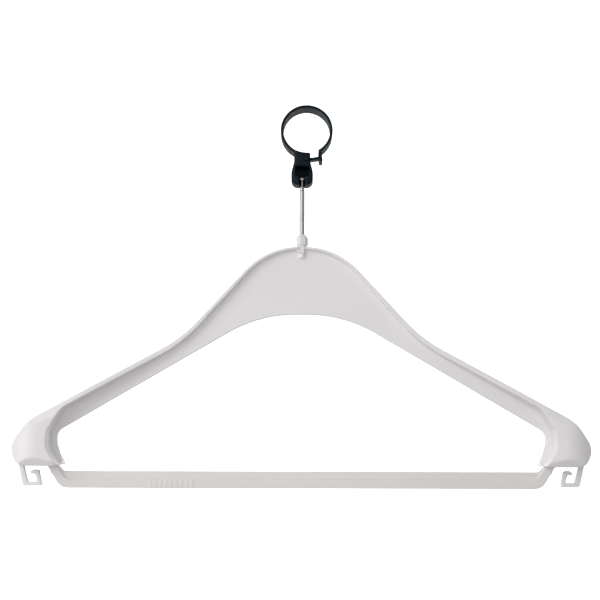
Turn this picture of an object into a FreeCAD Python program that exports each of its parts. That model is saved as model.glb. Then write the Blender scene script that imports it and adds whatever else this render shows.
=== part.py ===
import FreeCAD, Part
import math
import os
import Sketcher
from FreeCAD import Rotation, Vector

# Captive clothes hanger for a fixed rail, in millimetres.
#
# Frame of the whole part: the origin is the centre of the rail ring, +X runs along the hanger,
# +Y along the rail (away from the viewer of the front face) and +Z is up.
# The white hanger pieces are drawn about the pin axis with the top of the neck flange at zero
# height; the pin is drawn about the underside of its head. Each is then placed in the frame.

DOC = FreeCAD.newDocument("captive_hanger")
SHEET = DOC.addObject("Spreadsheet::Sheet", "Dim")

SIZES = (
    # rail ring and its clip
    ("ring_radius", 18.8, "radius of the opening for the rail"),
    ("band_wall", 2.2, "thickness of the ring band"),
    ("band_width", 14, "width of the ring band along the rail"),
    ("band_start", 245, "angle where the fixed half of the band leaves the block"),
    ("band_end", -57, "angle where the free half of the band meets its lug"),
    ("knuckle_gap", 0.15, "clearance round the flexing point at the top of the ring"),
    ("pin_offset", 3.6, "pin axis, left of the ring's centre"),
    ("block_width", 13, "width of the block under the ring"),
    ("block_height", 9, "ring opening to the shoulder of the cage"),
    ("cage_width", 17.4, "widest part of the cage"),
    ("cage_depth", 15.6, "depth of the block and the cage"),
    ("cage_corner", 5, "radius of the cage's lower corners, seen from the front"),
    ("cage_edge", 3.2, "radius of the cage's upright edges"),
    ("window_roof", 1.9, "cage shoulder to the top of the window"),
    ("window_gap", 1.4, "room beside the pin's head in the window"),
    ("window_height", 8.7, "height of the window"),
    ("back_wall", 3, "wall behind the window"),
    ("lip_height", 6.6, "front lip, from the window down to the cage's underside"),
    ("seat_depth", 2.4, "seat of the pin's head below the edge of the window"),
    ("slot_gap", 0.6, "slot in the lip, wider than the pin by this much"),
    ("saddle_rise", 2, "block's top above the bottom of the ring before the opening is cut"),
    ("slot_flare", 1.2, "bevel at the mouth of the slot"),
    # closing tongue, its lug and the release tab
    ("tongue_drop", 4.2, "bottom of the ring opening to the middle of the tongue"),
    ("tongue_height", 2.2, "height of the tongue"),
    ("tongue_width", 7, "width of the tongue along the rail"),
    ("tongue_entry", 1.9, "reach of the tongue into the block when the ring is open at rest"),
    ("tongue_travel", 7.5, "angle that the ring closes through"),
    ("travel_spare", 1, "angle left in the channel past the tongue's travel"),
    ("channel_gap", 0.35, "clearance round the tongue and round the release tab"),
    ("tooth_pitch", 1.5, "angle from one ratchet tooth to the next"),
    ("tooth_depth", 0.5, "depth of the ratchet teeth"),
    ("tooth_count", 5, "number of ratchet teeth"),
    ("lug_thick", 2.9, "thickness of the lug"),
    ("lug_length", 8.8, "length of the lug below the band"),
    ("tab_offset", 3.2, "middle of the release tab, right of the pin axis"),
    ("tab_width", 3.2, "width of the release tab"),
    ("tab_height", 5.4, "height of the release tab"),
    ("tab_thick", 1.5, "thickness of the release tab"),
    ("tab_drop", 1.3, "ring opening to the top of the release tab"),
    ("tab_tooth", 1.5, "width and height of the tooth behind the release tab"),
    # steel pin
    ("pin_radius", 2, "radius of the pin"),
    ("neck_inset", 0.2, "neck under the head, inside the surface of the pin"),
    ("neck_length", 8, "length of the neck"),
    ("head_radius", 4.2, "radius of the head"),
    ("head_height", 2.2, "height of the head"),
    ("head_round", 0.7, "rounding of the head"),
    ("head_gap", 0.1, "clearance under the head"),
    ("hang_length", 54.1, "seat of the head to the top of the neck flange"),
    ("pin_foot", 6.8, "pin below the top of the flange"),
    ("groove_depth", 0.6, "depth of the groove in the pin"),
    ("groove_height", 1.8, "height of the groove"),
    ("groove_level", 2.6, "middle of the groove above the flange"),
    # neck collar
    ("collar_height", 7.2, "straight height of the collar"),
    ("collar_dome", 3, "height of the tapered top of the collar"),
    ("collar_top_wall", 0.94, "wall round the pin at the top of the collar"),
    ("collar_edge", 0.5, "edge of the dome outside the flats of the collar"),
    ("collar_turn", 9, "turn of the flats about the pin"),
    ("collar_waist", 0.6, "depth of the groove round the foot of the collar"),
    ("waist_height", 1.1, "height of that groove"),
    ("waist_level", 0.3, "foot of the collar below that groove"),
    ("running_gap", 0.06, "clearance between the pin and the collar"),
    ("leg_width", 3.7, "width of a snap leg"),
    ("leg_thick", 1.2, "thickness of a snap leg"),
    ("leg_length", 6.2, "snap leg below the top of the flange"),
    ("foot_reach", 2.5, "sideways reach of the foot of a snap leg"),
    ("foot_height", 2.4, "height of the foot of a snap leg"),
    # white hanger frame
    ("half_span", 222.4, "pin axis to the tip of the shoulder"),
    ("base_drop", 172, "top of the flange to the underside of the shoulder"),
    ("crown_x", 27.4, "corner between the crown and the steep run"),
    ("crown_radius", 60, "radius of the crown"),
    ("bend_x", 93.8, "corner between the steep run and the slope"),
    ("bend_drop", 73.3, "drop of that corner"),
    ("bend_radius", 115, "radius of that bend"),
    ("shoulder_inset", 14.5, "corner between the slope and the shoulder, in from the tip"),
    ("shoulder_rise", 34.4, "height of that corner over the underside"),
    ("shoulder_radius", 40, "radius of the shoulder"),
    ("tip_rise", 13.5, "height of the tip over the underside"),
    ("tip_radius", 11, "radius of the tip"),
    ("tip_over", 1, "sharp corner of the tip before it is rounded, out from the tip"),
    ("tip_heel", 7, "corner under the tip, in from the tip"),
    ("root_inset", 35.5, "inner end of the shoulder's underside, in from the tip"),
    ("inner_crown_x", 33.2, "corner of the opening under the crown"),
    ("inner_crown_drop", 54.3, "drop of the opening under the crown"),
    ("inner_crown_radius", 107, "radius of the opening under the crown"),
    ("inner_end_inset", 31, "outer corner of the opening, in from the tip"),
    ("inner_end_rise", 24.8, "height of that corner over the underside"),
    ("inner_end_radius", 9, "radius of that corner"),
    ("notch_inset", 38, "notch over the bar's end, in from the tip"),
    ("notch_rise", 3, "height of the notch over the underside"),
    ("web_thick", 2.6, "thickness of the web"),
    ("lip_neck", 2.2, "thickness of the flange at the neck"),
    ("lip_arm", 4, "height of the flange on the arms"),
    ("neck_rim", 0.2, "rim of the flange outside the flats of the collar"),
    ("arm_x", 100, "end of the narrow stretch of the flange"),
    ("arm_half", 7.2, "half depth of the flange there"),
    ("pad_inset", 37, "start of the shoulder pad, in from the tip"),
    ("pad_half", 18, "half depth of the shoulder pad at its start"),
    ("broad_inset", 13, "broadest place of the shoulder pad, in from the tip"),
    ("broad_half", 21.6, "half depth of the shoulder pad there"),
    ("tip_half", 10, "half depth at the tip"),
    ("pad_round", 24, "radius of the shoulder pad, seen from above"),
    ("crest_half", 16.5, "half depth of the pad at the height of its top"),
    ("hem_half", 15.5, "half depth of the pad at its underside"),
    ("hem_rise", 8, "height of the curved hem of the pad"),
    ("rim_top_inset", 39.5, "top of the pad's inner rim, in from the tip"),
    ("lip_pad", 4.6, "height of the flange where it meets the pad's rim"),
    ("crest_rise", 46, "height of the pad's top over the underside"),
    ("rim_inset", 29, "outermost line of the pad's inner rim, in from the tip"),
    ("rim_upper_rise", 26, "upper corner of that line over the underside"),
    ("rim_lower_rise", 13, "lower corner of that line over the underside"),
    ("rim_radius", 14, "radius of the pad's inner rim"),
    ("shell_wall", 2.4, "wall of the hollow shoulder pad"),
    ("boss_wall", 1, "wall of the boss round the pin's foot"),
    ("boss_depth", 9.2, "depth of the boss below the top of the flange"),
    ("boss_gap", 0.3, "clearance round the pin's foot and round the snap legs"),
    ("leg_gap", 0.1, "clearance between the boss and the snap legs"),
    ("notch_round", 1, "rounding of the notch over the bar's end"),
    # skirt hooks
    ("hook_thick", 3.6, "thickness of a skirt hook"),
    ("hook_stem", 3.9, "width of the stem of a skirt hook"),
    ("hook_inset", 5.1, "middle of the stem at the underside, in from the tip"),
    ("hook_drop", 15.4, "underside of the shoulder to the foot of the hook"),
    ("hook_lean", 4.9, "lean of the stem towards the middle"),
    ("hook_bar", 3.1, "thickness of the foot of the hook"),
    ("hook_length", 15, "length of the foot of the hook"),
    ("hook_rise", 12, "height of the leg of the hook"),
    ("hook_leg", 2.8, "width of the leg of the hook"),
    ("hook_curl", 4.6, "length of the curl at the end of the hook"),
    ("curl_rise", 0.4, "rise of the curl above the hook's leg"),
    ("leg_lean", 1, "lean of the hook's leg"),
    ("hook_round", 1.5, "rounding of the corners of the hook"),
    # trouser bar
    ("bar_top", 4.1, "underside of the shoulder to the top of the bar"),
    ("bar_height", 12.8, "height of the bar"),
    ("bar_cheek", 0.5, "wall of the bar beside the frame's tab"),
    ("bar_thick", 6.4, "thickness of the lower part of the bar"),
    ("bar_step", 7, "height of the lower part of the bar"),
    ("bar_corner_inset", 37.5, "lower corner of the bar, in from the tip"),
    ("bar_corner_radius", 10, "radius of that corner"),
    ("bar_end_inset", 26.8, "outer edge of the bar's end, in from the tip"),
    ("bar_end_width", 8.6, "width of the bar's end"),
    ("bar_gap", 0.1, "clearance between the bar and the frame"),
    ("tab_length", 6, "tab of the frame in the bar's end"),
    ("tab_breadth", 4.4, "breadth of that tab"),
    ("grip_pitch", 4, "pitch of the ribs on the bar"),
    ("grip_count", 9, "number of ribs on the bar"),
    ("grip_start", 84, "first rib, left of the middle of the bar"),
    ("grip_height", 0.3, "height of the ribs"),
    ("grip_inset", 1, "ends of the ribs inside the lower part of the bar"),
    ("overrun", 1, "how far a cut passes the surface that it opens"),
)

for row, (alias, value, note) in enumerate(SIZES, start=1):
    SHEET.set(f"A{row}", note)
    SHEET.set(f"B{row}", str(value))
    SHEET.setAlias(f"B{row}", alias)
DOC.recompute()

# Levels and places that several pieces share, as expressions in the sheet's sizes.
HINGE_Z = "(Dim.ring_radius + Dim.band_wall / 2)"
BAND_MIDDLE = "(Dim.ring_radius + Dim.band_wall / 2)"
WINDOW_TOP = "-(Dim.ring_radius + Dim.block_height + Dim.window_roof)"
WINDOW_SILL = f"({WINDOW_TOP} - Dim.window_height)"
SEAT = f"({WINDOW_SILL} - Dim.seat_depth)"
CAGE_BOTTOM = f"({WINDOW_SILL} - Dim.lip_height)"
FLANGE_TOP = f"({SEAT} - Dim.hang_length)"
PIN_X = "-Dim.pin_offset"
TAB_X = "(Dim.tab_offset - Dim.pin_offset)"
TAB_TOP = "-(Dim.ring_radius + Dim.tab_drop)"
TAB_FRONT = "Dim.cage_depth / 2"
BASE = "-Dim.base_drop"
SLOT_WIDTH = "(2 * Dim.pin_radius + Dim.slot_gap)"
LUG_X = f"({BAND_MIDDLE} * cos(Dim.band_end * 1 deg))"
TONGUE_RADIUS = f"({HINGE_Z} + Dim.ring_radius + Dim.tongue_drop)"
TONGUE_ROOT = f"(270 + asin({LUG_X} / {TONGUE_RADIUS}) / 1 deg)"
TONGUE_TIP_X = "(Dim.block_width / 2 - Dim.pin_offset - Dim.tongue_entry)"
TONGUE_TIP = f"(270 + asin({TONGUE_TIP_X} / {TONGUE_RADIUS}) / 1 deg)"
NECK_RADIUS = "(Dim.pin_radius - Dim.neck_inset)"
GROOVE_RADIUS = "(Dim.pin_radius - Dim.groove_depth)"
BOSS_RADIUS = "(Dim.pin_radius + Dim.boss_gap + Dim.boss_wall)"
LEG_MIDDLE = f"({BOSS_RADIUS} + Dim.leg_gap + Dim.leg_thick / 2)"
COLLAR_HALF = f"({LEG_MIDDLE} + Dim.leg_thick / 2)"
BAR_THIN = "(Dim.web_thick + 2 * (Dim.bar_gap + Dim.bar_cheek))"


def number(expression):
    """Value of an expression now, for a sketch's first positions."""
    return float(SHEET.evalExpression(expression))


# --------------------------------------------------------------------------- sketches

def free_sketch(name, turn):
    """Sketch outside any body, turned from the XY plane by a rotation."""
    sketch = DOC.addObject("Sketcher::SketchObject", name)
    sketch.Placement = FreeCAD.Placement(Vector(0, 0, 0), turn)
    return sketch


def body_sketch(body, name, role="XZ_Plane", offset=None, up=None):
    """Sketch on one of the body's own origin planes, moved along its normal and up by expressions."""
    sketch = body.newObject("Sketcher::SketchObject", name)
    plane = next(item for item in body.Origin.OriginFeatures if item.Role == role)
    sketch.AttachmentSupport = (plane, [""])
    sketch.MapMode = "FlatFace"
    if offset:
        sketch.setExpression("AttachmentOffset.Base.z", offset)
    if up:
        sketch.setExpression("AttachmentOffset.Base.y", up)
    return sketch


def bind(sketch, constraints, bindings):
    """Add all constraints at once, then name and bind those that carry a size."""
    sketch.addConstraint(constraints)
    for index, name, expression in bindings:
        sketch.renameConstraint(index, name)
        sketch.setExpression(f"Constraints.{name}", expression)


def place_point(constraints, bindings, geometry, position, label, across, up):
    """Constrain one point's two coordinates to expressions."""
    for kind, expression in (("DistanceX", across), ("DistanceY", up)):
        bindings.append((len(constraints), f"{kind}_{label}", expression))
        constraints.append(Sketcher.Constraint(kind, geometry, position, number(expression)))


def outline(sketch, corners):
    """Closed outline through corners (across, up, radius); a radius of None leaves one sharp."""
    points = [Vector(number(x), number(y), 0) for x, y, _ in corners]
    radii = [number(radius) if radius else 0.0 for _, _, radius in corners]
    total = len(corners)
    entries, exits, centres = [], [], []
    for index, corner in enumerate(points):
        back = (points[index - 1] - corner).normalize()
        ahead = (points[(index + 1) % total] - corner).normalize()
        half = back.getAngle(ahead) / 2
        reach = radii[index] / math.tan(half)
        entries.append(corner + back * reach)
        exits.append(corner + ahead * reach)
        centres.append(corner + (back + ahead).normalize() * (radii[index] / math.sin(half)))

    constraints, bindings = [], []
    lines = [
        sketch.addGeometry(Part.LineSegment(exits[index], entries[(index + 1) % total]), False)
        for index in range(total)
    ]
    for index, (across, up, radius) in enumerate(corners):
        before, after = lines[index - 1], lines[index]
        if not radius:
            constraints.append(Sketcher.Constraint("Coincident", before, 2, after, 1))
            place_point(constraints, bindings, after, 1, index, across, up)
            continue
        spokes = [spot - centres[index] for spot in (entries[index], exits[index])]
        first, second = (math.atan2(spoke.y, spoke.x) for spoke in spokes)
        turns_left = (spokes[0].cross(spokes[1])).z > 0
        circle = Part.Circle(centres[index], Vector(0, 0, 1), radii[index])
        limits = (first, second) if turns_left else (second, first)
        arc = sketch.addGeometry(Part.ArcOfCircle(circle, *limits), False)
        entry, leave = (1, 2) if turns_left else (2, 1)
        corner = sketch.addGeometry(Part.Point(points[index]), True)
        constraints.append(Sketcher.Constraint("Tangent", before, 2, arc, entry))
        constraints.append(Sketcher.Constraint("Tangent", arc, leave, after, 1))
        constraints.append(Sketcher.Constraint("PointOnObject", corner, 1, before))
        constraints.append(Sketcher.Constraint("PointOnObject", corner, 1, after))
        bindings.append((len(constraints), f"Radius_{index}", radius))
        constraints.append(Sketcher.Constraint("Radius", arc, radii[index]))
        place_point(constraints, bindings, corner, 1, index, across, up)
    bind(sketch, constraints, bindings)
    return sketch


def circle(sketch, across, up, radius):
    """Circle whose centre and radius are expressions."""
    centre = Vector(number(across), number(up), 0)
    index = sketch.addGeometry(Part.Circle(centre, Vector(0, 0, 1), number(radius)), False)
    constraints, bindings = [], []
    place_point(constraints, bindings, index, 3, "centre", across, up)
    bindings.append((len(constraints), "Radius", radius))
    constraints.append(Sketcher.Constraint("Radius", index, number(radius)))
    bind(sketch, constraints, bindings)
    return sketch


def polar(radius, angle, centre_up="0"):
    """Point at a radius and an angle in degrees about (0, centre_up), as two expressions."""
    across = f"{radius} * cos(({angle}) * 1 deg)"
    up = f"{centre_up} + {radius} * sin(({angle}) * 1 deg)"
    return across, up


def sector(sketch, inner, outer, start, end, centre_up="0"):
    """Piece of a ring between two radii and two angles, counter-clockwise, about (0, centre_up)."""
    centre = Vector(0, number(centre_up), 0)
    limits = (math.radians(number(start)), math.radians(number(end)))
    arcs = [
        sketch.addGeometry(Part.ArcOfCircle(Part.Circle(centre, Vector(0, 0, 1), number(radius)),
                                            *limits), False)
        for radius in (inner, outer)
    ]
    edges = []
    for angle in (start, end):
        ends = [Vector(*(number(part) for part in polar(radius, angle, centre_up)), 0)
                for radius in (inner, outer)]
        edges.append(sketch.addGeometry(Part.LineSegment(*ends), False))
    constraints, bindings = [], []
    for arc, radius, name in zip(arcs, (inner, outer), ("inner", "outer")):
        bindings.append((len(constraints), f"Radius_{name}", radius))
        constraints.append(Sketcher.Constraint("Radius", arc, number(radius)))
    place_point(constraints, bindings, arcs[0], 3, "centre", "0", centre_up)
    constraints.append(Sketcher.Constraint("Coincident", arcs[0], 3, arcs[1], 3))
    for edge, position in zip(edges, (1, 2)):
        constraints.append(Sketcher.Constraint("Coincident", edge, 1, arcs[0], position))
        constraints.append(Sketcher.Constraint("Coincident", edge, 2, arcs[1], position))
        constraints.append(Sketcher.Constraint("PointOnObject", arcs[0], 3, edge))
    for position, angle, name in ((1, start, "start"), (2, end, "end")):
        across = polar(inner, angle, centre_up)[0]
        bindings.append((len(constraints), f"Across_{name}", across))
        constraints.append(Sketcher.Constraint("DistanceX", arcs[0], position, number(across)))
    bind(sketch, constraints, bindings)
    return sketch


def mirrored(right):
    """Corners of a right half from top to bottom, then the same corners on the left."""
    return right + [(f"-({x})", z, radius) for x, z, radius in reversed(right)]


def rectangle(left, right, bottom, top):
    """Four sharp corners."""
    return [(left, bottom, None), (right, bottom, None), (right, top, None), (left, top, None)]


# --------------------------------------------------------------------------- features

def new_body(label):
    body = DOC.addObject("PartDesign::Body", label)
    body.Label = label
    return body


def pad(body, sketch, length, both_ways=True):
    feature = body.newObject("PartDesign::Pad", f"{sketch.Name}_pad")
    feature.Profile = sketch
    feature.SideType = "Symmetric" if both_ways else "One side"
    feature.setExpression("Length", length)
    DOC.recompute()
    return feature


def pocket(body, sketch, length, both_ways=False):
    """Cut along the sketch's inward direction and make sure that something was cut."""
    before = body.Shape.Volume
    feature = body.newObject("PartDesign::Pocket", f"{sketch.Name}_pocket")
    feature.Profile = sketch
    feature.SideType = "Symmetric" if both_ways else "One side"
    feature.setExpression("Length", length)
    DOC.recompute()
    if body.Shape.Volume >= before:
        raise ValueError(f"{feature.Name} cuts nothing")
    return feature


def revolve(body, sketch):
    feature = body.newObject("PartDesign::Revolution", f"{sketch.Name}_turned")
    feature.Profile = sketch
    feature.ReferenceAxis = (sketch, ["V_Axis"])
    feature.Angle = 360
    DOC.recompute()
    return feature


def groove_round(body, sketch):
    """Cut a profile all the way round the upright axis."""
    before = body.Shape.Volume
    feature = body.newObject("PartDesign::Groove", f"{sketch.Name}_groove")
    feature.Profile = sketch
    feature.ReferenceAxis = (sketch, ["V_Axis"])
    feature.Angle = 360
    DOC.recompute()
    if body.Shape.Volume >= before:
        raise ValueError(f"{feature.Name} cuts nothing")
    return feature


def fillet(body, radius, wanted):
    """Round the edges of the body's tip that the test picks out."""
    base = body.Tip
    names = [f"Edge{place}" for place, edge in enumerate(base.Shape.Edges, start=1) if wanted(edge)]
    feature = body.newObject("PartDesign::Fillet", f"{body.Name}_round")
    feature.Base = (base, names)
    feature.setExpression("Radius", radius)
    DOC.recompute()
    return feature


def extrude(sketch, length):
    """Solid that reaches half the length to each side of a free sketch."""
    feature = DOC.addObject("Part::Extrusion", f"{sketch.Name}_solid")
    feature.Base = sketch
    feature.DirMode = "Normal"
    feature.setExpression("LengthFwd", length)
    feature.Solid = True
    feature.Symmetric = True
    return feature


def combine(kind, name, shapes):
    feature = DOC.addObject(kind, name)
    feature.Shapes = shapes
    return feature


def cut(name, base, tool):
    feature = DOC.addObject("Part::Cut", name)
    feature.Base = base
    feature.Tool = tool
    return feature


def set_place(item, across, depth, up):
    """Bind a piece's position to expressions."""
    for axis, expression in (("x", across), ("y", depth), ("z", up)):
        item.setExpression(f"Placement.Base.{axis}", expression)
    DOC.recompute()


def is_across(edge):
    """True for an edge that runs along the rail."""
    start, end = edge.Vertexes[0].Point, edge.Vertexes[-1].Point
    return edge.Curve.TypeId == "Part::GeomLine" and abs((end - start).normalize().y) > 0.95


# --------------------------------------------------------------------------- clip

def make_clip_body():
    """Fixed half of the ring, the block under it and the cage that holds the pin's head."""
    body = new_body("clip_body")
    cage_half = "Dim.cage_width / 2"
    block_half = "Dim.block_width / 2"
    waist = f"({WINDOW_TOP} - Dim.window_height / 2)"
    shoulder = "-(Dim.ring_radius + Dim.block_height - Dim.saddle_rise)"
    saddle = "-(Dim.ring_radius - Dim.saddle_rise)"
    block = body_sketch(body, "block")
    outline(block, [
        (f"{PIN_X} - {block_half}", saddle, None),
        (f"{PIN_X} - {block_half}", shoulder, "Dim.cage_corner"),
        (f"{PIN_X} - {cage_half}", waist, "3 * Dim.cage_corner"),
        (f"{PIN_X} - {cage_half}", CAGE_BOTTOM, "Dim.cage_corner"),
        (f"{PIN_X} + {cage_half}", CAGE_BOTTOM, "Dim.cage_corner"),
        (f"{PIN_X} + {cage_half}", waist, "3 * Dim.cage_corner"),
        (f"{PIN_X} + {block_half}", shoulder, "Dim.cage_corner"),
        (f"{PIN_X} + {block_half}", saddle, None),
    ])
    pad(body, block, "Dim.cage_depth")
    fillet(body, "Dim.cage_edge", lambda edge: edge.Length > number("Dim.cage_edge")
           and not is_across(edge) and edge.CenterOfMass.z < number(shoulder))

    band = body_sketch(body, "fixed_band")
    sector(band, "Dim.ring_radius", "(Dim.ring_radius + Dim.band_wall)", "90", "Dim.band_start")
    pad(body, band, "Dim.band_width")

    opening = circle(body_sketch(body, "rail_opening"), "0", "0", "Dim.ring_radius")
    pocket(body, opening, "2 * Dim.cage_depth", both_ways=True)
    flex = circle(body_sketch(body, "flex_clearance"), "0", HINGE_Z,
                  "Dim.band_wall / 2 + Dim.knuckle_gap")
    pocket(body, flex, "2 * Dim.band_width", both_ways=True)

    window = body_sketch(body, "window", offset="Dim.cage_depth / 2")
    window_half = "(Dim.head_radius + Dim.window_gap)"
    outline(window, rectangle(f"{PIN_X} - {window_half}", f"{PIN_X} + {window_half}",
                              WINDOW_SILL, WINDOW_TOP))
    pocket(body, window, "Dim.cage_depth - Dim.back_wall")

    seat = body_sketch(body, "head_seat", "XY_Plane", offset=WINDOW_SILL)
    circle(seat, PIN_X, "0", "Dim.head_radius + Dim.channel_gap")
    pocket(body, seat, "Dim.seat_depth")

    slot = body_sketch(body, "pin_slot", "XY_Plane", offset=WINDOW_SILL)
    front = "-Dim.cage_depth"
    mouth = "-(Dim.cage_depth / 2 - Dim.slot_flare)"
    half = f"{SLOT_WIDTH} / 2"
    flared = f"({half} + Dim.cage_depth / 2 + Dim.slot_flare)"
    outline(slot, [
        (f"{PIN_X} - {half}", half, f"{SLOT_WIDTH} * 0.49"),
        (f"{PIN_X} - {half}", mouth, None),
        (f"{PIN_X} - {flared}", front, None),
        (f"{PIN_X} + {flared}", front, None),
        (f"{PIN_X} + {half}", mouth, None),
        (f"{PIN_X} + {half}", half, f"{SLOT_WIDTH} * 0.49"),
    ])
    pocket(body, slot, "2 * Dim.lip_height")

    channel = body_sketch(body, "tongue_channel")
    sector(channel, f"({TONGUE_RADIUS} - Dim.tongue_height / 2 - Dim.channel_gap)",
           f"({TONGUE_RADIUS} + Dim.tongue_height / 2 + Dim.channel_gap)",
           f"{TONGUE_TIP} - Dim.tongue_travel - Dim.travel_spare", TONGUE_ROOT, HINGE_Z)
    pocket(body, channel, "Dim.tongue_width + 2 * Dim.channel_gap", both_ways=True)

    recess = body_sketch(body, "tab_recess", offset=TAB_FRONT)
    outline(recess, rectangle(f"{TAB_X} - Dim.tab_width / 2 - Dim.channel_gap",
                              f"{TAB_X} + Dim.tab_width / 2 + Dim.channel_gap",
                              f"{TAB_TOP} - Dim.tab_height - Dim.channel_gap",
                              f"{TAB_TOP} + Dim.channel_gap"))
    pocket(body, recess, "Dim.tab_thick + Dim.channel_gap")
    keyway = body_sketch(body, "tooth_keyway", offset=TAB_FRONT)
    outline(keyway, rectangle(f"{TAB_X} - Dim.tab_tooth / 2 - Dim.channel_gap",
                              f"{TAB_X} + Dim.tab_tooth / 2 + Dim.channel_gap",
                              f"{TAB_TOP} - Dim.tab_height - Dim.channel_gap",
                              f"{HINGE_Z} - {TONGUE_RADIUS} + Dim.tab_tooth / 2 + Dim.channel_gap"))
    pocket(body, keyway, "Dim.cage_depth / 2")
    return body


def make_ring_band():
    """Free half of the ring with its lug and the toothed closing tongue."""
    body = new_body("ring_band")
    band = body_sketch(body, "free_band")
    sector(band, "Dim.ring_radius", "(Dim.ring_radius + Dim.band_wall)", "Dim.band_end", "90")
    pad(body, band, "Dim.band_width")
    knuckle = circle(body_sketch(body, "flex_knuckle"), "0", HINGE_Z, "Dim.band_wall / 2")
    pad(body, knuckle, "Dim.band_width")

    lug = body_sketch(body, "lug")
    top_x, top_z = polar(BAND_MIDDLE, "Dim.band_end")
    outline(lug, [
        (f"{top_x} - Dim.lug_thick / 2", f"{top_z} + Dim.band_wall / 2", None),
        (f"{top_x} - Dim.lug_thick / 2", f"{top_z} - Dim.lug_length / 2", "2 * Dim.lug_thick"),
        (f"{top_x} - Dim.lug_thick / 4", f"{top_z} - Dim.lug_length", "Dim.lug_thick / 3"),
        (f"{top_x} + Dim.lug_thick * 3 / 4", f"{top_z} - Dim.lug_length", "Dim.lug_thick / 3"),
        (f"{top_x} + Dim.lug_thick / 2", f"{top_z} - Dim.lug_length / 2", "2 * Dim.lug_thick"),
        (f"{top_x} + Dim.lug_thick / 2", f"{top_z} + Dim.band_wall / 2", None),
    ])
    pad(body, lug, "Dim.band_width")
    opening = circle(body_sketch(body, "lug_opening"), "0", "0", "Dim.ring_radius")
    pocket(body, opening, "2 * Dim.band_width", both_ways=True)

    tongue = body_sketch(body, "tongue")
    sector(tongue, f"({TONGUE_RADIUS} - Dim.tongue_height / 2)",
           f"({TONGUE_RADIUS} + Dim.tongue_height / 2)", TONGUE_TIP, TONGUE_ROOT, HINGE_Z)
    pad(body, tongue, "Dim.tongue_width")

    tooth = body_sketch(body, "tooth_gap", offset="Dim.tongue_width / 2", up=HINGE_Z)
    sector(tooth, f"({TONGUE_RADIUS} - Dim.tongue_height)",
           f"({TONGUE_RADIUS} + Dim.tongue_height)",
           f"{TONGUE_TIP} + Dim.tooth_pitch / 2", f"{TONGUE_TIP} + Dim.tooth_pitch")
    gap = pocket(body, tooth, "Dim.tooth_depth")
    row = body.newObject("PartDesign::PolarPattern", "teeth")
    row.Originals = [gap]
    row.Axis = (tooth, ["N_Axis"])
    row.setExpression("Angle", "Dim.tooth_pitch * (Dim.tooth_count - 1)")
    row.setExpression("Occurrences", "Dim.tooth_count")
    body.Tip = row
    DOC.recompute()
    return body


def make_release_tab():
    """Sprung tab in the block's front face with a tooth that reaches to the tongue."""
    body = new_body("release_tab")
    blade = body_sketch(body, "tab_blade", "YZ_Plane", offset=TAB_X)
    back = f"-({TAB_FRONT} - Dim.tab_thick)"
    front = f"-({TAB_FRONT})"
    foot = f"{TAB_TOP} - Dim.tab_height"
    outline(blade, [
        (front, TAB_TOP, "Dim.tab_thick * 0.49"),
        (back, TAB_TOP, "Dim.tab_thick * 0.49"),
        (back, foot, None),
        (front, foot, "Dim.tab_thick / 3"),
    ])
    pad(body, blade, "Dim.tab_width")
    tooth = body_sketch(body, "tab_tooth", offset=f"{TAB_FRONT} - Dim.tab_thick")
    level = f"({HINGE_Z} - {TONGUE_RADIUS})"
    outline(tooth, rectangle(f"{TAB_X} - Dim.tab_tooth / 2", f"{TAB_X} + Dim.tab_tooth / 2",
                             f"{level} - Dim.tab_tooth / 2", f"{level} + Dim.tab_tooth / 2"))
    reach = f"{TAB_FRONT} - Dim.tab_thick - Dim.tongue_width / 2 - Dim.channel_gap"
    feature = pad(body, tooth, reach, both_ways=False)
    feature.Reversed = True
    DOC.recompute()
    return body


# --------------------------------------------------------------------------- pin

def make_pin():
    """Headed steel pin, turned about its axis; zero height is the underside of its head."""
    body = new_body("hanger_pin")
    profile = body_sketch(body, "pin_profile")
    foot = "-(Dim.hang_length + Dim.pin_foot)"
    groove = "(Dim.groove_level - Dim.hang_length)"
    outline(profile, [
        ("0", "Dim.head_height", None),
        ("Dim.head_radius", "Dim.head_height", "Dim.head_round"),
        ("Dim.head_radius", "0", None),
        (NECK_RADIUS, "0", None),
        (NECK_RADIUS, "-Dim.neck_length", None),
        ("Dim.pin_radius", "-(Dim.neck_length + Dim.neck_inset)", None),
        ("Dim.pin_radius", f"{groove} + Dim.groove_height / 2", None),
        (GROOVE_RADIUS, f"{groove} + Dim.groove_height / 2", None),
        (GROOVE_RADIUS, f"{groove} - Dim.groove_height / 2", None),
        ("Dim.pin_radius", f"{groove} - Dim.groove_height / 2", None),
        ("Dim.pin_radius", foot, "Dim.head_round"),
        ("0", foot, None),
    ])
    revolve(body, profile)
    set_place(body, PIN_X, "0", f"{SEAT} + Dim.head_gap")
    return body


# --------------------------------------------------------------------------- neck collar

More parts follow.
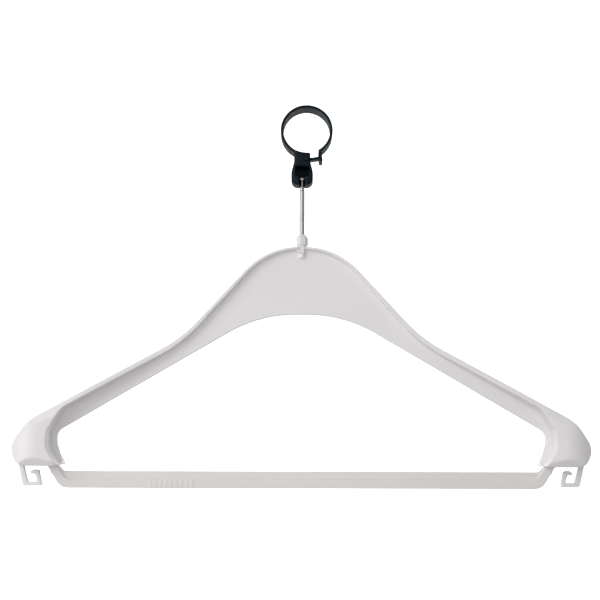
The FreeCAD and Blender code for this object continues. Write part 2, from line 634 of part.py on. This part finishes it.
def make_collar():
    """Octagonal collar that holds the pin by its groove and snaps to the flange by two legs."""
    body = new_body("neck_collar")
    plan = body_sketch(body, "collar_plan", "XY_Plane")
    across_corners = f"({COLLAR_HALF} / cos(22.5 deg))"
    sides = 8
    corners = []
    for side in range(sides):
        angle = f"{side * 360 / sides + 22.5} + Dim.collar_turn"
        across, up = polar(across_corners, angle)
        corners.append((across, up, None))
    outline(plan, corners)
    pad(body, plan, "Dim.collar_height + Dim.collar_dome", both_ways=False)

    top = body_sketch(body, "collar_taper")
    outer = f"2 * {COLLAR_HALF}"
    height = "Dim.collar_height + Dim.collar_dome"
    outline(top, [
        (outer, "Dim.collar_height", None),
        (outer, height, None),
        ("Dim.pin_radius + Dim.running_gap + Dim.collar_top_wall", height, None),
        (f"{COLLAR_HALF} + Dim.collar_edge", "Dim.collar_height", None),
    ])
    groove_round(body, top)

    waist = body_sketch(body, "collar_waist")
    outline(waist, rectangle(f"{COLLAR_HALF} - Dim.collar_waist", outer,
                             "Dim.waist_level", "Dim.waist_level + Dim.waist_height"))
    groove_round(body, waist)

    bore = body_sketch(body, "collar_bore")
    rib = f"({GROOVE_RADIUS} + Dim.running_gap)"
    wall = "(Dim.pin_radius + Dim.running_gap)"
    rib_half = "(Dim.groove_height / 2 - 2 * Dim.running_gap)"
    level = "(Dim.groove_level + Dim.head_gap)"
    outline(bore, [
        ("0", "-Dim.overrun", None),
        (wall, "-Dim.overrun", None),
        (wall, f"{level} - {rib_half}", None),
        (rib, f"{level} - {rib_half}", None),
        (rib, f"{level} + {rib_half}", None),
        (wall, f"{level} + {rib_half}", None),
        (wall, f"{height} + Dim.overrun", None),
        ("0", f"{height} + Dim.overrun", None),
    ])
    groove_round(body, bore)

    for name, side in (("front_leg", 1), ("back_leg", -1)):
        leg = body_sketch(body, name, offset=f"{side} * {LEG_MIDDLE}")
        half = "Dim.leg_width / 2"
        root = "Dim.waist_level / 3"
        foot = "-(Dim.lip_neck + Dim.boss_gap)"
        outline(leg, [
            (f"-{side} * {half}", root, None),
            (f"-{side} * {half}", foot, None),
            (f"-{side} * ({half} + Dim.foot_reach)", foot, "Dim.foot_height / 3"),
            (f"-{side} * ({half} + Dim.foot_reach)", f"{foot} - Dim.foot_height",
             "Dim.foot_height / 2"),
            (f"-{side} * {half} / 2", f"{foot} - Dim.foot_height", None),
            (f"{side} * {half} / 3", "-Dim.leg_length", "Dim.leg_thick / 4"),
            (f"{side} * {half}", f"{foot} - Dim.foot_height", None),
            (f"{side} * {half}", root, None),
        ])
        pad(body, leg, "Dim.leg_thick")
    set_place(body, PIN_X, "0", FLANGE_TOP)
    return body


# --------------------------------------------------------------------------- hanger frame

FRONT_VIEW = Rotation(Vector(1, 0, 0), 90)
SIDE_VIEW = Rotation(Vector(1, 1, 1), 120)
TOP_VIEW = Rotation()


def from_tip(inset):
    return f"(Dim.half_span - Dim.{inset})"


def above_base(rise):
    return f"(Dim.{rise} - Dim.base_drop)"


def arm_corners():
    """Right half of the frame's front outline: crown, arm, shoulder, underside and opening."""
    return [
        ("Dim.crown_x", "0", "Dim.crown_radius"),
        ("Dim.bend_x", "-Dim.bend_drop", "Dim.bend_radius"),
        (from_tip("shoulder_inset"), above_base("shoulder_rise"), "Dim.shoulder_radius"),
        ("Dim.half_span + Dim.tip_over", above_base("tip_rise"), "Dim.tip_radius"),
        (from_tip("tip_heel"), BASE, "Dim.tip_radius"),
        (from_tip("root_inset"), BASE, None),
        (from_tip("notch_inset"), above_base("notch_rise"), "Dim.notch_round"),
        (from_tip("inner_end_inset"), above_base("inner_end_rise"), "Dim.inner_end_radius"),
        ("Dim.inner_crown_x", "-Dim.inner_crown_drop", "Dim.inner_crown_radius"),
    ]


def make_envelope(front):
    """Outer shape: the front outline, narrowed in the view from above and from the side."""
    above = free_sketch("frame_plan", TOP_VIEW)
    plan = [
        ("Dim.arm_x", "Dim.arm_half", "3 * Dim.arm_x"),
        (from_tip("pad_inset"), "Dim.pad_half", "Dim.arm_x"),
        (from_tip("broad_inset"), "Dim.broad_half", "Dim.pad_round"),
        ("Dim.half_span + 2 * Dim.tip_over", "Dim.tip_half", "Dim.tip_radius * 0.8"),
    ]
    neck_half = f"({COLLAR_HALF} + Dim.neck_rim)"
    right = plan + [(x, f"-{y}", radius) for x, y, radius in reversed(plan)]
    middle = [("0", f"-{neck_half}", "3 * Dim.arm_x")]
    left = [(f"-({x})", y, radius) for x, y, radius in reversed(right)]
    outline(above, right + middle + left + [("0", neck_half, "3 * Dim.arm_x")])

    side = free_sketch("frame_side", SIDE_VIEW)
    outline(side, mirrored([
        ("Dim.arm_half + Dim.overrun", "Dim.overrun", None),
        ("Dim.crest_half", above_base("crest_rise"), "Dim.arm_x"),
        ("Dim.broad_half", above_base("rim_upper_rise"), "Dim.pad_round"),
        ("Dim.broad_half", above_base("hem_rise"), "Dim.hem_rise"),
        ("Dim.hem_half", f"{BASE} - Dim.overrun", None),
    ]))
    return combine("Part::MultiCommon", "envelope", [
        extrude(front, "4 * Dim.broad_half"),
        extrude(above, "4 * Dim.base_drop"),
        extrude(side, "4 * Dim.half_span"),
    ])


def make_recess():
    """Hollow between the flange and the rims of the shoulder pads."""
    recess = free_sketch("recess", FRONT_VIEW)
    run = f"({from_tip('shoulder_inset')} - Dim.bend_x)"
    slope = f"(({above_base('shoulder_rise')} + Dim.bend_drop) / {run})"
    rim_top = f"({slope} * ({from_tip('rim_top_inset')} - Dim.bend_x) - Dim.bend_drop)"
    outline(recess, mirrored([
        ("Dim.crown_x - Dim.lip_neck / 2", "-Dim.lip_neck", "Dim.crown_radius - Dim.lip_neck"),
        ("Dim.bend_x - Dim.lip_arm / 3", "-(Dim.bend_drop + Dim.lip_arm)",
         "Dim.bend_radius + Dim.lip_arm"),
        (from_tip("rim_top_inset"), f"{rim_top} - Dim.lip_pad", "Dim.rim_radius"),
        (from_tip("rim_inset"), above_base("rim_upper_rise"), "Dim.rim_radius"),
        (from_tip("rim_inset"), above_base("rim_lower_rise"), "Dim.rim_radius"),
        (from_tip("notch_inset"), f"{BASE} - Dim.overrun", None),
    ]))
    return extrude(recess, "4 * Dim.broad_half")


def make_core(side):
    """Hollow inside one shoulder pad, open underneath."""
    name = "right" if side > 0 else "left"
    front = free_sketch(f"core_front_{name}", FRONT_VIEW)
    inner = f"({from_tip('rim_inset')} + Dim.shell_wall)"
    corners = [
        (inner, f"{BASE} - Dim.overrun", None),
        (inner, f"{above_base('shoulder_rise')} + Dim.shell_wall / 2", "Dim.shell_wall"),
        (f"{from_tip('shoulder_inset')} - Dim.shell_wall / 2",
         f"{above_base('shoulder_rise')} - 1.6 * Dim.shell_wall", "Dim.shoulder_radius / 2"),
        ("Dim.half_span + Dim.tip_over - 1.2 * Dim.shell_wall", above_base("tip_rise"),
         "Dim.tip_radius / 2"),
        (f"{from_tip('tip_heel')} - Dim.shell_wall / 2", f"{BASE} - Dim.overrun", None),
    ]
    outline(front, [(f"{side} * ({x})", z, radius) for x, z, radius in corners])
    above = free_sketch(f"core_plan_{name}", TOP_VIEW)
    plan = [
        (from_tip("pad_inset"), "Dim.pad_half - Dim.shell_wall", None),
        (from_tip("broad_inset"), "Dim.broad_half - Dim.shell_wall",
         "Dim.pad_round - Dim.shell_wall"),
        ("Dim.half_span", "Dim.tip_half - Dim.shell_wall / 2", "Dim.tip_radius / 2"),
    ]
    loop = plan + [(x, f"-({y})", radius) for x, y, radius in reversed(plan)]
    outline(above, [(f"{side} * ({x})", y, radius) for x, y, radius in loop])
    belly = free_sketch(f"core_side_{name}", SIDE_VIEW)
    outline(belly, mirrored([
        ("Dim.crest_half - Dim.shell_wall", above_base("crest_rise"), None),
        ("Dim.broad_half - Dim.shell_wall", above_base("rim_upper_rise"), "Dim.pad_round"),
        ("Dim.broad_half - Dim.shell_wall", above_base("hem_rise"), "Dim.hem_rise"),
        ("Dim.hem_half - Dim.shell_wall", f"{BASE} - 2 * Dim.overrun", None),
    ]))
    return combine("Part::MultiCommon", f"core_{name}", [
        extrude(front, "4 * Dim.broad_half"),
        extrude(above, "4 * Dim.base_drop"),
        extrude(belly, "4 * Dim.half_span"),
    ])


def make_skirt_hook(side):
    """Open hook under one shoulder for a skirt's hanging loop."""
    hook = free_sketch("skirt_hook_right" if side > 0 else "skirt_hook_left", FRONT_VIEW)
    stem_x = from_tip("hook_inset")
    heel_x = f"({stem_x} - Dim.hook_lean)"
    sole = f"({BASE} - Dim.hook_drop)"
    toe_x = f"({heel_x} + Dim.hook_stem / 2 - Dim.hook_length)"
    curl_x = f"({toe_x} + Dim.hook_leg + Dim.hook_curl)"
    curl_top = f"({sole} + Dim.hook_rise)"
    corners = [
        (f"{stem_x} + Dim.hook_stem / 2", f"{BASE} + Dim.hem_rise / 2", None),
        (f"{heel_x} + Dim.hook_stem / 2", sole, "Dim.hook_round"),
        (toe_x, sole, "Dim.hook_round"),
        (f"{toe_x} + Dim.hook_leg", curl_top, "Dim.hook_round"),
        (curl_x, f"{curl_top} + Dim.curl_rise", None),
        (f"{curl_x} + Dim.hook_leg", f"{curl_top} - Dim.hook_leg / 2", None),
        (f"{curl_x} + Dim.hook_leg - Dim.leg_lean",
         f"{curl_top} - Dim.hook_leg - Dim.curl_rise", None),
        (f"{toe_x} + 2 * Dim.hook_leg + Dim.curl_rise", f"{curl_top} - Dim.hook_leg",
         "Dim.hook_round / 2"),
        (f"{toe_x} + Dim.hook_leg + Dim.leg_lean", f"{sole} + Dim.hook_bar",
         "Dim.hook_round / 2"),
        (f"{heel_x} - Dim.hook_stem / 2", f"{sole} + Dim.hook_bar", "Dim.hook_round / 2"),
        (f"{stem_x} - Dim.hook_stem / 2", f"{BASE} + Dim.hem_rise / 2", None),
    ]
    outline(hook, [(f"{side} * ({x})", z, radius) for x, z, radius in corners])
    return extrude(hook, "Dim.hook_thick")


def make_box(name, middle, left, length, width, bottom, height):
    """Box with its middle depth, its left end and its bottom given."""
    box = DOC.addObject("Part::Box", name)
    box.setExpression("Length", length)
    box.setExpression("Width", width)
    box.setExpression("Height", height)
    set_place(box, left, f"{middle} - ({width}) / 2", bottom)
    return box


def make_frame():
    """White moulding: web, flange, shoulder pads, skirt hooks, neck boss and the bar's tabs."""
    front = outline(free_sketch("frame_front", FRONT_VIEW), mirrored(arm_corners()))
    hollows = combine("Part::MultiFuse", "hollows", [make_recess(), make_core(1), make_core(-1)])
    shell = cut("flange_and_pads", make_envelope(front), hollows)
    web = extrude(front, "Dim.web_thick")
    web.Label = "web"

    boss = DOC.addObject("Part::Cylinder", "boss")
    boss.setExpression("Radius", BOSS_RADIUS)
    boss.setExpression("Height", "Dim.boss_depth - Dim.lip_neck / 2")
    set_place(boss, "0", "0", "-Dim.boss_depth")

    tab_middle = f"({from_tip('bar_end_inset')} - Dim.bar_end_width / 2)"
    tabs = []
    for name, side in (("tab_right", 1), ("tab_left", -1)):
        left = f"{side} * {tab_middle} - Dim.tab_breadth / 2"
        tabs.append(make_box(name, "0", left, "Dim.tab_breadth", "Dim.web_thick",
                             f"{BASE} - Dim.tab_length", "Dim.tab_length + Dim.notch_rise"))

    solid = combine("Part::MultiFuse", "frame_solid",
                    [shell, web, boss, make_skirt_hook(1), make_skirt_hook(-1)] + tabs)

    bore = DOC.addObject("Part::Cylinder", "pin_bore")
    bore.setExpression("Radius", "Dim.pin_radius + Dim.boss_gap")
    bore.setExpression("Height", "Dim.pin_foot + Dim.boss_gap + Dim.overrun")
    set_place(bore, "0", "0", "-(Dim.pin_foot + Dim.boss_gap)")
    openings = [bore]
    for name, side in (("front_notch", -1), ("back_notch", 1)):
        openings.append(make_box(name, f"{side} * {LEG_MIDDLE}",
                                 "-(Dim.leg_width / 2 + Dim.boss_gap)",
                                 "Dim.leg_width + 2 * Dim.boss_gap",
                                 "Dim.leg_thick + 2 * Dim.boss_gap",
                                 "-Dim.lip_neck - Dim.overrun",
                                 "Dim.lip_neck + 2 * Dim.overrun"))
    frame = cut("hanger_frame", solid, combine("Part::MultiFuse", "frame_openings", openings))
    frame.Label = "hanger_frame"
    set_place(frame, PIN_X, "0", FLANGE_TOP)
    return frame


# --------------------------------------------------------------------------- trouser bar

def make_bar():
    """Snap-in trouser bar: a thin upper strip, a thicker lower one and ribs for grip."""
    body = new_body("trouser_bar")
    top = f"({BASE} - Dim.bar_top)"
    bottom = f"({top} - Dim.bar_height)"
    end_top = f"({BASE} - Dim.bar_gap)"
    outer = from_tip("bar_end_inset")
    inner = f"({outer} - Dim.bar_end_width)"
    lower = [
        (outer, end_top, None),
        (from_tip("bar_corner_inset"), bottom, "Dim.bar_corner_radius"),
    ]
    strip = body_sketch(body, "bar_strip")
    outline(strip, mirrored([(f"{inner} - Dim.bar_top", top, "Dim.bar_top / 3"),
                             (inner, end_top, None)] + lower))
    pad(body, strip, BAR_THIN)

    step = body_sketch(body, "bar_step")
    outline(step, mirrored([
        (f"{from_tip('bar_corner_inset')} - Dim.bar_step / 2", f"{bottom} + Dim.bar_step",
         "Dim.bar_corner_radius - Dim.bar_step / 2"),
        (f"{inner} + Dim.bar_corner_radius / 10", end_top, None),
    ] + lower))
    pad(body, step, "Dim.bar_thick")

    for name, side in (("slot_right", 1), ("slot_left", -1)):
        middle = f"{side} * ({outer} - Dim.bar_end_width / 2)"
        slot = body_sketch(body, name)
        half = "(Dim.tab_breadth / 2 + Dim.bar_gap)"
        outline(slot, rectangle(f"{middle} - {half}", f"{middle} + {half}",
                                f"{BASE} - Dim.tab_length - Dim.bar_gap",
                                f"{BASE} + Dim.overrun"))
        pocket(body, slot, "Dim.web_thick + 2 * Dim.bar_gap", both_ways=True)

    rib = body_sketch(body, "grip_rib")
    outline(rib, rectangle("-(Dim.grip_start + Dim.grip_pitch / 4)",
                           "-(Dim.grip_start - Dim.grip_pitch / 4)",
                           f"{bottom} + Dim.grip_inset",
                           f"{bottom} + Dim.bar_step - Dim.grip_inset"))
    first = pad(body, rib, "Dim.bar_thick + 2 * Dim.grip_height")
    row = body.newObject("PartDesign::LinearPattern", "grip_row")
    row.Originals = [first]
    row.Direction = (rib, ["H_Axis"])
    row.Reversed = True
    row.setExpression("Length", "Dim.grip_pitch * (Dim.grip_count - 1)")
    row.setExpression("Occurrences", "Dim.grip_count")
    body.Tip = row
    DOC.recompute()
    set_place(body, PIN_X, "0", FLANGE_TOP)
    return body


# --------------------------------------------------------------------------- check and write

def check(pieces):
    """Stop if any object failed or any piece is not one valid solid."""
    for item in DOC.Objects:
        if {"Invalid", "Error"} & set(item.State):
            raise ValueError(f"{item.Name}: {item.State}")
    for piece in pieces:
        shape = piece.Shape
        if shape.isNull() or not shape.isValid() or len(shape.Solids) != 1:
            raise ValueError(f"{piece.Label} is not one valid solid")


def main():
    pieces = [
        make_clip_body(),
        make_ring_band(),
        make_release_tab(),
        make_pin(),
        make_collar(),
        make_frame(),
        make_bar(),
    ]
    DOC.recompute()
    check(pieces)
    os.makedirs("parts", exist_ok=True)
    for piece in pieces:
        piece.Shape.exportStep(f"parts/{piece.Label}.step")
        box = piece.Shape.BoundBox
        print(f"{piece.Label:14s} {piece.Shape.Volume:10.0f} mm3  "
              f"x {box.XMin:.1f} {box.XMax:.1f}  y {box.YMin:.1f} {box.YMax:.1f}  "
              f"z {box.ZMin:.1f} {box.ZMax:.1f}")


main()
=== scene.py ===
import math
import bpy
from mathutils import Matrix, Vector

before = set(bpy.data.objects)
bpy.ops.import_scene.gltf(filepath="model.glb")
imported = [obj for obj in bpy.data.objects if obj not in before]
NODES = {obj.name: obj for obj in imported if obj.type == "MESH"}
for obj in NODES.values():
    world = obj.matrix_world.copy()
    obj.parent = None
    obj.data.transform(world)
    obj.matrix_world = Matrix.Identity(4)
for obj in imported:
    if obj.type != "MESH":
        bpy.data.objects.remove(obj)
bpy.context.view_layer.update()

# Captive clothes hanger, in metres. The CAD pieces are shown themselves: each gets a procedural
# material and the softened edges of a moulding, and hangs before a white paper backdrop.


# ----------------------------------------------------------------------------- materials

# Sockets of a Mix node that mixes colours.
MIX_FACTOR, MIX_FIRST, MIX_SECOND, MIX_RESULT = 0, 6, 7, 2

# Linear colours, with alpha.
FLOW_TINT = (0.86, 0.81, 0.81, 1.0)
SPECK_TINT = (0.70, 0.68, 0.67, 1.0)
# Lighter colour of the painted highlight along the black nylon's sharp edges.
EDGE_HIGHLIGHT_NYLON = (0.022, 0.032, 0.036, 1.0)
NICKEL_BRIGHT = (0.47, 0.465, 0.46, 1.0)
NICKEL_HAZE = (0.36, 0.355, 0.35, 1.0)
NICKEL_RIM = (0.12, 0.12, 0.12, 1.0)
PAPER_DARK = (0.93, 0.93, 0.935, 1.0)
PAPER_LIGHT = (0.97, 0.97, 0.97, 1.0)
PAPER_GREY = (0.50, 0.485, 0.485, 1.0)
PURE_WHITE = (1.0, 1.0, 1.0, 1.0)

NYLON_DRIFT = 2.1          # lighter patches of the nylon, as a multiple of its colour
PAPER_FADE = (0.7, 1.35)   # y where the paper turns from grey to glowing white


class Shader:
    """Small helper that wires the node tree of one material."""

    def __init__(self, name):
        self.material = bpy.data.materials.new(name)
        self.material.use_nodes = True
        self.tree = self.material.node_tree
        self.surface = self.tree.nodes["Principled BSDF"]
        self.place = self.tree.nodes.new("ShaderNodeTexCoord").outputs["Object"]

    def node(self, kind, inputs=None, **settings):
        made = self.tree.nodes.new(kind)
        for key, value in settings.items():
            setattr(made, key, value)
        for key, value in (inputs or {}).items():
            self.feed(made.inputs[key], value)
        return made

    def feed(self, socket, value):
        if isinstance(value, bpy.types.NodeSocket):
            self.tree.links.new(value, socket)
        else:
            socket.default_value = value

    def set(self, **values):
        for key, value in values.items():
            self.feed(self.surface.inputs[key.replace("_", " ")], value)

    def stretched(self, scale):
        return self.node("ShaderNodeMapping", {"Vector": self.place, "Scale": scale}).outputs["Vector"]

    def noise(self, scale, detail=3.0, vector=None, roughness=0.5, distortion=0.0):
        inputs = {"Vector": vector or self.place, "Scale": scale, "Detail": detail,
                  "Roughness": roughness, "Distortion": distortion}
        return self.node("ShaderNodeTexNoise", inputs).outputs["Fac"]

    def remap(self, value, span, to):
        inputs = {"Value": value, "From Min": span[0], "From Max": span[1],
                  "To Min": to[0], "To Max": to[1]}
        return self.node("ShaderNodeMapRange", inputs).outputs["Result"]

    def mix(self, factor, first, second):
        made = self.node("ShaderNodeMix", data_type="RGBA")
        self.feed(made.inputs[MIX_FACTOR], factor)
        self.feed(made.inputs[MIX_FIRST], first)
        self.feed(made.inputs[MIX_SECOND], second)
        return made.outputs[MIX_RESULT]

    def bump(self, height, distance, strength=1.0, under=None):
        inputs = {"Height": height, "Distance": distance, "Strength": strength}
        if under is not None:
            inputs["Normal"] = under
        return self.node("ShaderNodeBump", inputs).outputs["Normal"]


def white_plastic(name, light, shade, gloss):
    """Glossy moulded plastic: soft tint drift, faint flow marks, specks and a fine orange peel."""
    shader = Shader(name)
    drift = shader.remap(shader.noise(9.0, detail=2.0), (0.3, 0.7), to=(0.0, 1.0))
    flow = shader.noise(16.0, detail=2.0, vector=shader.stretched((0.3, 1.0, 1.0)), distortion=0.3)
    specks = shader.remap(shader.noise(950.0, detail=2.0), (0.62, 0.78), to=(0.0, 0.25))
    tint = shader.mix(drift, light, shade)
    tint = shader.mix(shader.remap(flow, (0.35, 0.75), to=(0.0, 0.25)), tint, FLOW_TINT)
    tint = shader.mix(specks, tint, SPECK_TINT)
    peel = shader.bump(shader.noise(420.0, detail=2.0), distance=0.00004, strength=0.3)
    wave = shader.bump(shader.noise(24.0, detail=1.0), distance=0.0003, strength=0.05, under=peel)
    shader.set(Base_Color=tint, Roughness=shader.remap(flow, (0.3, 0.7), to=(gloss, gloss + 0.06)),
               Normal=wave, IOR=1.49, Coat_Weight=0.08, Coat_Roughness=0.3)
    return shader.material


def black_nylon(name, colour, grain):
    """Satin black plastic with a fine grain, a soft tint drift and sharp edges made lighter by a painted
    highlight.
    """
    shader = Shader(name)
    spots = shader.noise(grain, roughness=0.6)
    drift = shader.remap(shader.noise(70.0), (0.35, 0.7), to=(0.0, 1.0))
    lighter = tuple(channel * NYLON_DRIFT for channel in colour[:3]) + (1.0,)
    # Painted highlight: sharp convex edges are mixed towards a lighter colour.
    edges = shader.node("ShaderNodeNewGeometry").outputs["Pointiness"]
    edge_highlight = shader.remap(edges, (0.52, 0.62), to=(0.0, 0.6))
    tint = shader.mix(edge_highlight, shader.mix(drift, colour, lighter), EDGE_HIGHLIGHT_NYLON)
    shader.set(Base_Color=tint, Roughness=shader.remap(spots, (0.3, 0.7), to=(0.5, 0.66)),
               Normal=shader.bump(spots, distance=0.00008, strength=0.4), Specular_IOR_Level=0.12)
    return shader.material


def bright_nickel(name):
    """Nickel plate over a drawn and turned steel pin."""
    shader = Shader(name)
    rings = shader.noise(700.0, detail=2.0, vector=shader.stretched((0.02, 0.02, 1.0)))
    streaks = shader.noise(160.0, detail=2.0, vector=shader.stretched((1.0, 1.0, 0.02)))
    haze = shader.remap(shader.noise(120.0), (0.35, 0.75), to=(0.0, 0.4))
    drawn = shader.bump(streaks, distance=0.00001, strength=0.2)
    turned = shader.bump(rings, distance=0.00001, strength=0.3, under=drawn)
    shader.set(Base_Color=shader.mix(haze, NICKEL_BRIGHT, NICKEL_HAZE), Metallic=1.0, Normal=turned,
               Roughness=shader.remap(streaks, (0.3, 0.7), to=(0.2, 0.3)), Specular_Tint=NICKEL_RIM)
    return shader.material


def studio_paper(name, glow):
    """Matt paper: grey under the object, bright where it rises behind it."""
    shader = Shader(name)
    fibre = shader.noise(200.0, detail=4.0)
    depth = shader.node("ShaderNodeSeparateXYZ", {"Vector": shader.place}).outputs["Y"]
    tint = shader.mix(fibre, PAPER_DARK, PAPER_LIGHT)
    far = shader.remap(depth, PAPER_FADE, to=(0.0, 1.0))
    shader.set(Base_Color=shader.mix(far, PAPER_GREY, tint), Roughness=0.9,
               Normal=shader.bump(fibre, distance=0.0002, strength=0.2), Emission_Color=PURE_WHITE,
               Emission_Strength=shader.remap(depth, PAPER_FADE, to=(0.0, glow)))
    return shader.material


def paint(item, material):
    item.data.materials.clear()
    item.data.materials.append(material)


FRAME_WHITE = white_plastic("frame_white", (0.91, 0.89, 0.90, 1.0), (0.875, 0.865, 0.885, 1.0), gloss=0.36)
# Painted shade: the trouser bar is the same white plastic as the frame but gets a darker, slightly less
# glossy copy of its colour.
BAR_SHADED_WHITE = white_plastic("bar_shaded_white", (0.85, 0.83, 0.825, 1.0), (0.80, 0.785, 0.78, 1.0), gloss=0.32)
COLLAR_WHITE = white_plastic("collar_white", (0.85, 0.85, 0.86, 1.0), (0.81, 0.81, 0.83, 1.0), gloss=0.18)
CLIP_BLACK = black_nylon("clip_black", (0.004, 0.009, 0.012, 1.0), grain=1400.0)
BAND_BLACK = black_nylon("band_black", (0.004, 0.011, 0.016, 1.0), grain=1100.0)
TAB_BLACK = black_nylon("tab_black", (0.005, 0.010, 0.014, 1.0), grain=1600.0)
PIN_NICKEL = bright_nickel("pin_nickel")


# ----------------------------------------------------------------------------- moulded edges

WELD_DISTANCE = 1e-6


def mould(item, voxel, passes):
    """Give a CAD piece the softened edges of a moulding."""
    weld = item.modifiers.new("weld", "WELD")
    weld.merge_threshold = WELD_DISTANCE
    remesh = item.modifiers.new("remesh", "REMESH")
    remesh.mode = "VOXEL"
    remesh.voxel_size = voxel
    remesh.use_smooth_shade = True
    smooth = item.modifiers.new("smooth", "SMOOTH")
    smooth.factor = 0.5
    smooth.iterations = passes


# node: (material, voxel size, smoothing passes)
LOOKS = {
    "clip_body": (CLIP_BLACK, 0.00022, 3),
    "ring_band": (BAND_BLACK, 0.00022, 3),
    "release_tab": (TAB_BLACK, 0.00010, 4),
    "hanger_frame": (FRAME_WHITE, 0.00055, 6),
    "trouser_bar": (BAR_SHADED_WHITE, 0.00045, 4),
    "neck_collar": (COLLAR_WHITE, 0.00012, 4),
    "hanger_pin": (PIN_NICKEL, 0.00012, 2),
}
for label, (material, voxel, passes) in LOOKS.items():
    paint(NODES[label], material)
    mould(NODES[label], voxel * (1), passes)


# ----------------------------------------------------------------------------- floor and backdrop

FLOOR_Z = -0.62
FLOOR_FRONT_Y = -3.5
FLOOR_HALF_WIDTH = 4.0
PAPER_JOINT_Y = 0.65        # where the floor ends and the backdrop starts
BACKDROP_Y = 2.4
BACKDROP_TOP_Z = 1.6
BACKDROP_HALF_WIDTH = 1.6
BACKDROP_GLOW = 0.85
COVE_RADIUS = 0.8
COVE_STEPS = 16


def sheet_mesh(name, profile, half_width):
    """Wide sheet that follows a profile of (y, z) points."""
    points = [(side * half_width, y, z) for y, z in profile for side in (-1, 1)]
    faces = [(2 * i, 2 * i + 1, 2 * i + 3, 2 * i + 2) for i in range(len(profile) - 1)]
    mesh = bpy.data.meshes.new(name)
    mesh.from_pydata(points, [], faces)
    for polygon in mesh.polygons:
        polygon.use_smooth = True
    item = bpy.data.objects.new(name, mesh)
    bpy.context.scene.collection.objects.link(item)
    return item


def cove_profile():
    """Quarter round from the floor up to the backdrop's upright part."""
    angles = [math.radians(90 * step / COVE_STEPS) for step in range(COVE_STEPS + 1)]
    return [(BACKDROP_Y - COVE_RADIUS + COVE_RADIUS * math.sin(angle),
             FLOOR_Z + COVE_RADIUS - COVE_RADIUS * math.cos(angle)) for angle in angles]


floor = sheet_mesh("floor", [(FLOOR_FRONT_Y, FLOOR_Z), (PAPER_JOINT_Y, FLOOR_Z)], FLOOR_HALF_WIDTH)
backdrop_profile = [(PAPER_JOINT_Y, FLOOR_Z)] + cove_profile() + [(BACKDROP_Y, BACKDROP_TOP_Z)]
backdrop = sheet_mesh("backdrop", backdrop_profile, BACKDROP_HALF_WIDTH)
paper = studio_paper("studio_paper", BACKDROP_GLOW)
for item in (floor, backdrop):
    paint(item, paper)


# ----------------------------------------------------------------------------- lights and camera

MIDDLE = (0.0, 0.0, -0.2)
WEB_LEFT = (-0.05, 0.0, -0.2)
PAPER_MIDDLE = (0.0, 2.2, 0.0)
NEUTRAL = (1.0, 1.0, 1.0)
WARM_KEY = (1.0, 0.995, 0.985)
COOL_FILL = (0.97, 0.98, 1.0)
WARM_FRONT = (1.0, 0.985, 0.98)

# name: (place, aimed at, (width, height), watts, colour)
LIGHTS = {
    "key": ((-1.05, -0.85, 0.2), WEB_LEFT, (1.2, 1.2), 10.5, WARM_KEY),
    "fill": ((1.3, -1.2, 0.1), MIDDLE, (1.2, 1.2), 1.0, COOL_FILL),
    "front": ((0.1, -2.4, -0.1), MIDDLE, (1.4, 1.0), 6.0, WARM_FRONT),
    "paper_left": ((-1.5, 1.2, 1.6), PAPER_MIDDLE, (1.2, 1.2), 10.0, NEUTRAL),
    "paper_right": ((1.5, 1.2, 1.6), PAPER_MIDDLE, (1.2, 1.2), 10.0, NEUTRAL),
}
AIR_STRENGTH = 0.38

CAMERA_PLACE = (-0.005, -0.736, -0.2407)
CAMERA_TILT = 98       # degrees from straight down, so it looks slightly up
CAMERA_ROLL = 0.18     # degrees
CAMERA_LENS = 56.28
SENSOR_WIDTH = 36


def area_light(name, position, target, size, power, colour):
    data = bpy.data.lights.new(name, "AREA")
    data.shape = "RECTANGLE"
    data.size, data.size_y = size
    data.energy = power
    data.color = colour
    item = bpy.data.objects.new(name, data)
    bpy.context.scene.collection.objects.link(item)
    item.location = position
    item.rotation_euler = (Vector(target) - Vector(position)).to_track_quat("-Z", "Y").to_euler()


def studio_air(strength):
    """Even pale light from all round."""
    world = bpy.data.worlds.new("studio_air")
    world.use_nodes = True
    background = world.node_tree.nodes["Background"]
    background.inputs["Color"].default_value = PURE_WHITE
    background.inputs["Strength"].default_value = strength
    bpy.context.scene.world = world


def front_camera():
    data = bpy.data.cameras.new("camera")
    data.sensor_width = SENSOR_WIDTH
    data.lens = CAMERA_LENS
    camera = bpy.data.objects.new("camera", data)
    bpy.context.scene.collection.objects.link(camera)
    turn = (Matrix.Rotation(math.radians(CAMERA_TILT), 3, "X")
            @ Matrix.Rotation(math.radians(CAMERA_ROLL), 3, "Z"))
    camera.rotation_euler = turn.to_euler()
    camera.location = CAMERA_PLACE
    bpy.context.scene.camera = camera


for name, settings in LIGHTS.items():
    area_light(name, *settings)
studio_air(AIR_STRENGTH)
bpy.context.scene.view_settings.view_transform = "Standard"
front_camera()
